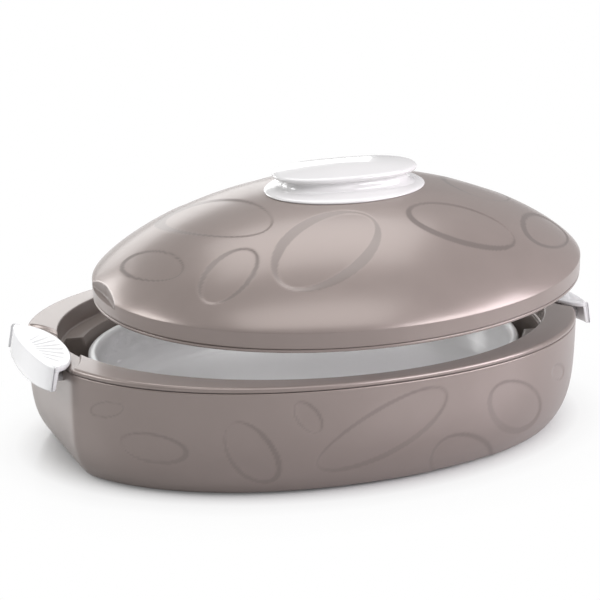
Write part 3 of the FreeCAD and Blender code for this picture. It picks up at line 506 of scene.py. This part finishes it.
def latch_section(sin_s, y):
    """Closed profile (x, z) of the left latch where its plan is this wide."""
    x_in = PAD_X + PAD_IN * sin_s
    x_out = PAD_X - PAD_OUT * sin_s
    foot = SKIRT_FOOT + SKIRT_RISE * (y / PAD_HALF) ** 2
    r_in = min(1.3, max((x_in - x_out) * 0.2, 0.15))
    pts = [(x_in - 0.6, PAD_UNDER), (x_in - 0.1, PAD_UNDER + 0.35)]
    pts += [(x_in - r_in + r_in * math.cos(a), PAD_TOP - 0.7 - r_in + r_in * math.sin(a))
            for a in np.linspace(0.0, 1.4, 5)]
    x0 = x_in - r_in
    x1 = min(x_out + PAD_EDGE, x0 - 0.2)
    for t in np.linspace(0.0, 1.0, 34):
        crown = 0.7 * math.sin(min(t * 1.25, 1.0) * QUARTER)
        pts.append((x0 + (x1 - x0) * t, PAD_TOP - 0.7 + crown))
    shoulder = PAD_TOP - PAD_EDGE
    for a in np.linspace(0.15, QUARTER, 8):
        pts.append((x1 - PAD_EDGE * math.sin(a), shoulder + PAD_EDGE * math.cos(a)))
    xo = x1 - PAD_EDGE
    for t in np.linspace(0.08, 1.0, 16):
        pts.append((xo - SKIRT_OUT * t ** 1.1, shoulder - (shoulder - foot - 0.8) * t))
    xf = xo - SKIRT_OUT
    pts += [(xf + 0.1, foot + 0.35), (xf + 0.45, foot), (xf + 1.4, foot), (xf + 1.8, foot + 0.35)]
    for t in np.linspace(0.1, 1.0, 9):
        pts.append((xf + SKIRT_THICK + SKIRT_OUT * t,
                    foot + 0.4 + (PAD_UNDER - 1.2 - foot - 0.4) * t))
    xi = xo + SKIRT_THICK
    pts += [(min(xi + 0.4, max(x_in - 0.7, xi + 0.05)), PAD_UNDER - 0.3),
            (min(xi + 1.2, max(x_in - 0.65, xi + 0.1)), PAD_UNDER)]
    return pts


def make_latch_look():
    """The left latch: its profiles from end to end, rounded off there, with ribs on the pad."""
    rows = []
    for t in np.linspace(0.0, math.pi, 150):
        y = -math.cos(t) * (49.5 if math.cos(t) > 0.0 else 47.0)
        rows.append([(x, y, z) for x, z in latch_section(math.sin(t), y)])
    for end, out in ((0, -1.0), (-1, 1.0)):
        last = np.asarray(rows[end])
        middle = np.interp(last[:, 2], (55.0, 73.0), (-182.0, -179.6))
        for width, push, height in ((0.75, 0.28, 0.985), (0.35, 0.45, 0.96)):
            row = last.copy()
            row[:, 0] = middle + (last[:, 0] - middle) * width
            row[:, 1] += out * push
            row[:, 2] = 64.5 + (last[:, 2] - 64.5) * height
            rows.insert(0 if end == 0 else len(rows), row)
    grid = np.asarray([np.asarray(r) for r in rows])
    top = (grid[..., 2] > 72.6) & (np.abs(grid[..., 1]) < 47.0)
    x, y = grid[..., 0], grid[..., 1]
    lobe = 1.0 - np.hypot((x - PAD_X) / np.where(x > PAD_X, PAD_IN, PAD_OUT), y / PAD_HALF)
    border = smooth(0.10, 0.24, lobe) * top
    dx, dy = (x + 190.0) / 30.0, (y + 4.0) / PAD_HALF      # the ribs fan out from beside the pad
    turn = np.arctan2(dy, dx) * VEIN_COUNT / math.pi + 0.35 * np.sin(dx * 3.0)
    vein = smooth(0.25, 0.95, np.abs((turn % 1.0) - 0.5) * 2.0)
    grid[..., 2] -= VEIN_DEEP * border * smooth(-182.0, -177.0, x) * vein
    grid[..., 2] -= PAD_SINK * smooth(0.08, 0.14, lobe) * top
    return grid


def peg_grid(x0, x1, y, z, r):
    """A guide peg along x, chamfered at both ends."""
    t = np.linspace(0.0, ROUND, 40, endpoint=False)
    return np.stack([np.stack([np.full_like(t, px), y + pr * np.cos(t), z + pr * np.sin(t)], -1)
                     for px, pr in ((x0, r * 0.92), (x0, r), (x1 - 0.3, r), (x1, r - 0.3))], 1)


PEG_Y, PEG_Z = 30.0, 61.5
latch_grid = make_latch_look()
for side, name in ((-1.0, "left"), (1.0, "right")):
    grid = latch_grid * [-side, 1.0, 1.0]
    obj = surface("latch_look_" + name, grid, white, wrap_u=False, wrap_v=True,
                  cap_first=True, cap_last=True, flip=side < 0)
    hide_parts("latch_" + name)
    body = "latch_l" if side < 0 else "latch_r"
    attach(obj, body)
    for letter, y in (("a", -PEG_Y), ("b", PEG_Y)):
        for part, r, x0, x1 in (("stem", 3.0, 168.0, 181.0), ("collar", 4.6, 175.4, 181.5)):
            g = peg_grid(x0, x1, y, PEG_Z, r) * [side, 1.0, 1.0]
            g = g[:, ::-1] if part == "stem" else g
            p = surface("latch_" + part + "_" + name + "_" + letter, g, white,
                        cap_first=True, cap_last=True, flip=side > 0)
            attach(p, body)


# ---- lid --------------------------------------------------------------------------------------
LID = np.array(Matrix.Translation((17.0, -16.2, 99.3))
               @ Matrix.Rotation(math.radians(-2.1), 4, "Y")
               @ Matrix.Rotation(math.radians(3.6), 4, "X"))
DOME_A, DOME_B = 158.0, 126.0         # half length and half width of the lid
DOME_FOOT, DOME_RISE = 11.6, 51.3     # the band's upper edge, and how high the dome is above it
DOME_OUT, DOME_UP = 2.08, 1.2         # exponents of the dome's curve
NOTCH_LONG, NOTCH_WIDE, NOTCH_Z = 19.5, 51.5, 9.3
LID_OVAL_DEPTH = 0.7                  # share of the depths below


def set_down(points):
    """From the lid's own frame to where it floats."""
    return points @ LID[:3, :3].T + LID[:3, 3]


def dome_out(x, y):
    """How far out on the dome a point is: 0 at its centre, 1 at its edge."""
    return np.hypot(x / DOME_A, y / DOME_B)


def dome_z(out):
    rest = np.maximum(1.0 - np.minimum(out, 1.0) ** DOME_OUT, 0.0)
    return DOME_FOOT + DOME_RISE * rest ** (1.0 / DOME_UP)


def dome_oval(x, y, depth, **keys):
    out = dome_out(x, y)
    z = float(dome_z(out))
    k = DOME_OUT * out ** (DOME_OUT - 1.0) / out
    up = DOME_UP * ((z - DOME_FOOT) / DOME_RISE) ** (DOME_UP - 1.0) / DOME_RISE
    return Oval((x, y, z), (k * x / DOME_A ** 2, k * y / DOME_B ** 2, up),
                depth=LID_OVAL_DEPTH * depth, **keys)


lid_ovals = [
    dict(x=-41, y=-73, outer=(40.5, 26.8), inner=(38.6, 19.6), turn=48.5, shift=(0.2, 3.6),
         inner_shift=(0.2, 0.3), depth=0.9),
    dict(x=-98, y=-62, outer=(23.0, 15.8), inner=(21.8, 12.0), turn=76, shift=(-0.7, 1.0),
         inner_shift=(0.1, -0.6), depth=0.6),
    dict(x=-84, y=-5.5, outer=(49.0, 23.0), inner=(42.5, 20.0), turn=18, shift=(-10.0, 0.0),
         inner_shift=(5.6, 1.8), depth=0.5),
    dict(x=-130, y=-18, outer=(28.0, 12.8), inner=(24.6, 11.0), turn=10, shift=(-3.0, 0.2),
         inner_shift=(1.6, 0.4), depth=0.4),
    dict(x=50.5, y=-67, outer=(35.5, 22.6), inner=(32.6, 18.2), turn=-45, shift=(2.4, 1.4),
         inner_shift=(2.2, 0.3), depth=0.6),
    dict(x=118, y=-50, outer=(34.0, 16.6), inner=(28.5, 13.6), turn=-12, shift=(4.0, -1.0),
         inner_shift=(1.0, -1.2), depth=0.7),
    dict(x=98, y=-4, outer=(32.0, 24.0), inner=(28.0, 20.5), turn=-30, shift=(6.0, 2.0),
         inner_shift=(-2.0, -1.0), depth=0.5),
]
dome_ovals = [dome_oval(**o) for o in lid_ovals]
for o in lid_ovals[:2] + lid_ovals[4:5]:
    dome_ovals.append(dome_oval(**{**o, "x": -o["x"], "y": -o["y"]}))

phi_l = spread(lambda t: (DOME_A * np.cos(t), DOME_B * np.sin(t)), end_spacing(145.0, 0.55, 1.3))
fine_out = np.linspace(0.0, 1.0, 4001)
fine_prof = np.stack([DOME_A * fine_out, dome_z(fine_out)], -1)
step = np.hypot(*np.diff(fine_prof, axis=0).T)
gap = FINE * np.where(fine_prof[1:, 0] > 148.0, 0.4, 1.15)
along = np.concatenate([[0.0], np.cumsum(step / gap)])
outs = np.interp(np.linspace(0.0, along[-1], int(along[-1])), along, fine_out)
outs[0] = 0.004                       # the small face in the middle, under the handle plate
lid_prof = [(o, float(dome_z(o))) for o in outs]
lid_prof += [(1.0, z) for z in np.linspace(11.2, 3.0, 16)]
lid_prof += [(0.9993, 2.5), (0.997, 2.2), (0.985, 2.2)]
lid_pts = np.stack([ellipse(phi_l, DOME_A * o, DOME_B * o, z) for o, z in lid_prof], 1)
lid_n = grid_normals(lid_pts)
DOME_ROW = 20                         # a row on the dome, which tells where up is
if lid_n[:, DOME_ROW, 2].mean() < 0:
    lid_n = -lid_n
lid_pts, lid_painted_shade = press(lid_pts, lid_n, dome_ovals)

# the notches at both tips: down to their floor, and a line of painted shade along their edge
ax, ay = np.abs(lid_pts[..., 0]), np.abs(lid_pts[..., 1])
in_notch = (1.0 - np.hypot((ax - LATCH_X) / NOTCH_LONG, ay / NOTCH_WIDE)) * NOTCH_LONG
lid_z = lid_pts[..., 2]
low = NOTCH_Z + 0.25 * smooth(0.0, 1.2, 1.2 - in_notch)
cut = lid_z + (np.minimum(lid_z, low) - lid_z) * smooth(0.0, 0.55, in_notch)
lid_pts[..., 2] = np.where(lid_z > NOTCH_Z, cut, lid_z)
# painted shade: a dark line along the notch's edge
notch_painted_shade = smooth(-0.2, 0.2, in_notch) * smooth(1.6, 1.1, in_notch) * (lid_pts[..., 2] > 9.0)
lid_painted_shade = np.maximum(lid_painted_shade, notch_painted_shade)
lid_obj = surface("lid_look", set_down(lid_pts), taupe, cap_first=True,
                  attributes={"painted_band_shade": lid_painted_shade}, flip=True)
# painted shade: the notches' floors and walls get a darker, rougher copy of the taupe
lid_obj.data.materials.append(taupe_notch_painted_shade)
notch_shade_faces = ((in_notch > 0.02) & (lid_pts[..., 2] > 8.8)).reshape(-1).tolist()
for face in lid_obj.data.polygons:
    if len(face.vertices) == 4 and all(notch_shade_faces[k] for k in face.vertices):
        face.material_index = 1
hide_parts("lid_outer_shell")
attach(lid_obj, "lid")

# liner: a lip in the rim's colour, white from where it turns up inside
LINER_A, LINER_RISE = 147.0, 34.15
LIP_POINTS = 6                        # of the profile, before the white starts
LINER_COUNT = 420
lip = [(154.5, 1.9), (157.4, 1.9), (157.8, 1.7), (157.8, 0.4), (157.5, 0.1), (157.0, 0.0),
       (148.2, 0.0), (147.5, 0.2), (LINER_A, 0.8)]
lip += [(LINER_A * math.cos(a) ** 0.5, LINER_RISE * math.sin(a))
        for a in np.linspace(0.05, 1.5, 40)]
lip += [(12.0, 34.18), (2.0, 34.2)]
lip_pts = turned(lip, DOME_B / DOME_A, LINER_COUNT)
lip_obj = surface("lid_liner_look", set_down(lip_pts), taupe_rim, cap_last=True)
lip_obj.data.materials.append(dish_white)
along_lip = len(lip) - 1              # faces along the profile; the cap comes after them all
for face in lip_obj.data.polygons:
    is_cap = face.index >= LINER_COUNT * along_lip
    face.material_index = int(face.index % along_lip >= LIP_POINTS or is_cap)
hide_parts("lid_inner_liner")
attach(lip_obj, "lid")


# ---- handle -----------------------------------------------------------------------------------
KNOB_X = 3.4
PLATE_A, PLATE_B, PLATE_LIFT = 52.2, 38.0, 1.7
# plate: follows the dome, with a rounded edge; (share of its size, height above the dome)
plate = [(q, PLATE_LIFT) for q in np.linspace(0.02, 0.93, 22)]
plate += [(0.955, 1.62), (0.975, 1.5), (0.988, 1.3), (0.996, 1.05), (1.0, 0.75), (1.0, 0.35),
          (0.995, 0.12)]
t = np.linspace(0.0, ROUND, 300, endpoint=False)
rows = []
for q, lift in plate:
    x, y = KNOB_X + PLATE_A * q * np.cos(t), PLATE_B * q * np.sin(t)
    rows.append(np.stack([x, y, dome_z(dome_out(x, y)) + lift], -1))
plate_obj = surface("handle_plate_look", set_down(np.stack(rows, 1)), knob_white,
                    cap_first=True, flip=True)
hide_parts("handle_plate")
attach(plate_obj, "lid")

# grip: concave neck, then the edge and the low crown of its oval top
GRIP_LONG, GRIP_WIDE, GRIP_EXPONENT = 46.0, 28.0, 2.3
TOP_LONGER, TOP_SLIMMER = 0.015, 0.13
GRIP_TURN = math.radians(-5.0)
grip = [(45.0, 61.0), (43.6, 61.9), (42.2, 62.6), (41.0, 63.5), (40.3, 64.5), (40.0, 65.4),
        (40.3, 66.3), (41.2, 67.2), (42.6, 67.9), (44.2, 68.3)]
grip += [(45.2, 68.6), (45.8, 69.2), (GRIP_LONG, 69.9), (45.7, 70.6), (45.0, 71.1), (43.6, 71.5)]
grip += [(GRIP_LONG * (1.0 - s), 71.3 + 3.4 * math.sin(s * QUARTER))
         for s in np.linspace(0.1, 0.97, 18)]
grip_pts = turned(even(grip, 0.8), GRIP_WIDE / GRIP_LONG, 360, GRIP_EXPONENT)
on_top = smooth(64.0, 69.0, grip_pts[..., 2])
grip_pts[..., 0] *= 1.0 + TOP_LONGER * on_top
grip_pts[..., 1] *= 1.0 - TOP_SLIMMER * on_top
c, s = math.cos(GRIP_TURN), math.sin(GRIP_TURN)
grip_pts[..., :2] = grip_pts[..., :2] @ [[c, s], [-s, c]] + [KNOB_X, 0.0]
on_plate = dome_z(dome_out(grip_pts[..., 0], grip_pts[..., 1])) + PLATE_LIFT + 0.05
grip_z = grip_pts[..., 2]
grip_pts[..., 2] = np.where(grip_z < 63.0, np.maximum(grip_z, on_plate), grip_z)
grip_obj = surface("handle_grip_look", set_down(grip_pts), knob_white, cap_last=True)
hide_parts("handle_grip")
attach(grip_obj, "lid")


# ---- carried-over pieces ----------------------------------------------------------------------
for material, nodes in (
        (foam_mat, ("base_foam", "lid_foam")),
        (dark_plastic, ("base_bottom_cover", "base_foam_plug", "lid_foam_plug",
                        "handle_screw_caps")),
        (rubber, ("rubber_feet",)),
        (steel, ("base_cover_screws", "handle_screws", "handle_washers", "latch_screws_left",
                 "latch_screws_right", "latch_washers_left", "latch_washers_right"))):
    for node in nodes:
        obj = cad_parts[node]
        obj.data.materials.clear()
        obj.data.materials.append(material)


# ---- room -------------------------------------------------------------------------------------
def math_node(tree, operation, *values):
    """A Math node of two values, each a number or a socket."""
    node = tree.nodes.new("ShaderNodeMath")
    node.operation = operation
    for value, socket in zip(values, node.inputs):
        if isinstance(value, bpy.types.NodeSocket):
            tree.links.new(value, socket)
        else:
            socket.default_value = value
    return node.outputs["Value"]


floor_mat = bpy.data.materials.new("floor")
floor_mat.use_nodes = True
floor_mat.cycles.emission_sampling = "NONE"
tree = floor_mat.node_tree
floor_shader = tree.nodes["Principled BSDF"]
floor_shader.inputs["Base Color"].default_value = (0.66, 0.66, 0.66, 1.0)
floor_shader.inputs["Roughness"].default_value = 0.25
floor_shader.inputs["Specular IOR Level"].default_value = 0.4
glow = tree.nodes.new("ShaderNodeEmission")
glow.inputs["Strength"].default_value = 1.0
place = tree.nodes.new("ShaderNodeNewGeometry").outputs["Position"]


def fade_from(scale, near, far):
    """0 to 1 outwards over the floor, measured on an oval of these half sizes."""
    shrink = tree.nodes.new("ShaderNodeVectorMath")
    shrink.operation = "DIVIDE"
    shrink.inputs[1].default_value = scale
    tree.links.new(place, shrink.inputs[0])
    length = tree.nodes.new("ShaderNodeVectorMath")
    length.operation = "LENGTH"
    tree.links.new(shrink.outputs["Vector"], length.inputs[0])
    fade = tree.nodes.new("ShaderNodeMapRange")
    fade.inputs["From Min"].default_value = near
    fade.inputs["From Max"].default_value = far
    tree.links.new(length.outputs["Value"], fade.inputs["Value"])
    return fade.outputs["Result"]


# The floor is lit as it is near the object and plain white further out: for the camera on an
# oval around the foot, and for gloss and glass on a wider circle.
FOOT_OVAL, CAMERA_FADE = (0.166, 0.120, 1.0), (0.95, 1.60)
GLOSS_FADE = (0.24, 0.60)
seen = tree.nodes.new("ShaderNodeValToRGB")
seen.color_ramp.elements[0].color = (0.0, 0.0, 0.0, 1.0)
seen.color_ramp.elements[1].color = (1.0, 1.0, 1.0, 1.0)
for stop, level in ((0.08, 0.15), (0.30, 0.80), (0.50, 0.95)):
    seen.color_ramp.elements.new(stop).color = (level, level, level, 1.0)
tree.links.new(fade_from(FOOT_OVAL, *CAMERA_FADE), seen.inputs["Fac"])
mirrored = fade_from((1.0, 1.0, 1.0), *GLOSS_FADE)
rays = tree.nodes.new("ShaderNodeLightPath").outputs
for_camera = math_node(tree, "MULTIPLY", rays["Is Camera Ray"], seen.outputs["Color"])
bounced = math_node(tree, "MAXIMUM", rays["Is Glossy Ray"], rays["Is Transmission Ray"])
for_gloss = math_node(tree, "MULTIPLY", bounced, mirrored)
blend = tree.nodes.new("ShaderNodeMixShader")
tree.links.new(math_node(tree, "MAXIMUM", for_camera, for_gloss), blend.inputs["Fac"])
tree.links.new(floor_shader.outputs["BSDF"], blend.inputs[1])
tree.links.new(glow.outputs["Emission"], blend.inputs[2])
tree.links.new(blend.outputs["Shader"], tree.nodes["Material Output"].inputs["Surface"])
FLOOR_HALF, FLOOR_Z = 9000, -0.3
floor = add_mesh("floor", [(x * FLOOR_HALF, y * FLOOR_HALF, FLOOR_Z)
                           for x, y in ((-1, -1), (1, -1), (1, 1), (-1, 1))],
                 [(0, 1, 2, 3)], floor_mat)

# The world is white to the camera and through glass, and dimmer as light and in gloss.
WORLD_LIGHT, WORLD_GLOSS = 0.30, 0.2  # its strength as light, and the share of white in gloss
world = bpy.data.worlds.new("room")
bpy.context.scene.world = world
world.use_nodes = True
tree = world.node_tree
tree.nodes.clear()
back = tree.nodes.new("ShaderNodeBackground")
back.inputs["Color"].default_value = (1.0, 1.0, 1.0, 1.0)
rays = tree.nodes.new("ShaderNodeLightPath").outputs
direct = math_node(tree, "MAXIMUM", rays["Is Camera Ray"], rays["Is Transmission Ray"])
soft_gloss = math_node(tree, "MULTIPLY", rays["Is Glossy Ray"], WORLD_GLOSS)
level = tree.nodes.new("ShaderNodeMapRange")
level.inputs["To Min"].default_value = WORLD_LIGHT
level.inputs["To Max"].default_value = 1.0
tree.links.new(math_node(tree, "MAXIMUM", direct, soft_gloss), level.inputs["Value"])
tree.links.new(level.outputs["Result"], back.inputs["Strength"])
out = tree.nodes.new("ShaderNodeOutputWorld")
tree.links.new(back.outputs["Background"], out.inputs["Surface"])


# ---- lamps and camera -------------------------------------------------------------------------
HEART = Vector((0.0, 0.0, 0.07))      # all lamps aim here


def softbox(name, at, size, power, colour=(1, 1, 1)):
    light = bpy.data.lights.new(name, "AREA")
    light.shape = "RECTANGLE"
    light.size, light.size_y = size
    light.energy = power
    light.color = colour
    obj = bpy.data.objects.new(name, light)
    bpy.context.scene.collection.objects.link(obj)
    obj.location = at
    obj.rotation_euler = (HEART - Vector(at)).to_track_quat("-Z", "Y").to_euler()


softbox("top_back", (0.18, 0.45, 1.35), (1.1, 0.7), 6.0)
softbox("top_front", (-0.2, -0.6, 1.35), (1.2, 0.6), 5.0)
softbox("left", (-1.24, 0.30, 0.82), (0.6, 0.5), 6.2)
softbox("left_back", (-0.8, 1.15, 0.5), (0.7, 0.7), 7.0)
softbox("back", (0.2, 1.5, 0.52), (1.1, 0.5), 3.0)
softbox("right_front", (1.16, -0.70, 0.66), (0.65, 0.75), 11.5, (1.0, 0.94, 1.0))
softbox("front_right", (0.68, -1.16, 0.72), (0.6, 0.7), 9.0, (1.0, 0.96, 1.0))

# the photograph's view, fitted to its outlines
FRAME_PX, FOCAL_PX, SENSOR_MM = 600.0, 1844.93, 36.0
YAW, PITCH = math.radians(-22.93), math.radians(15.87)
cam = bpy.data.cameras.new("camera")
cam.sensor_width = SENSOR_MM
cam.lens = FOCAL_PX / FRAME_PX * SENSOR_MM
cam.clip_end = 50.0
cam_obj = bpy.data.objects.new("camera", cam)
bpy.context.scene.collection.objects.link(cam_obj)
backwards = Vector((math.sin(YAW) * math.cos(PITCH), -math.cos(YAW) * math.cos(PITCH),
                    math.sin(PITCH)))
cam_obj.location = (-0.4453, -1.0443, 0.4042)
cam_obj.rotation_euler = backwards.to_track_quat("Z", "Y").to_euler()
bpy.context.scene.camera = cam_obj
bpy.context.scene.view_settings.view_transform = "Standard"
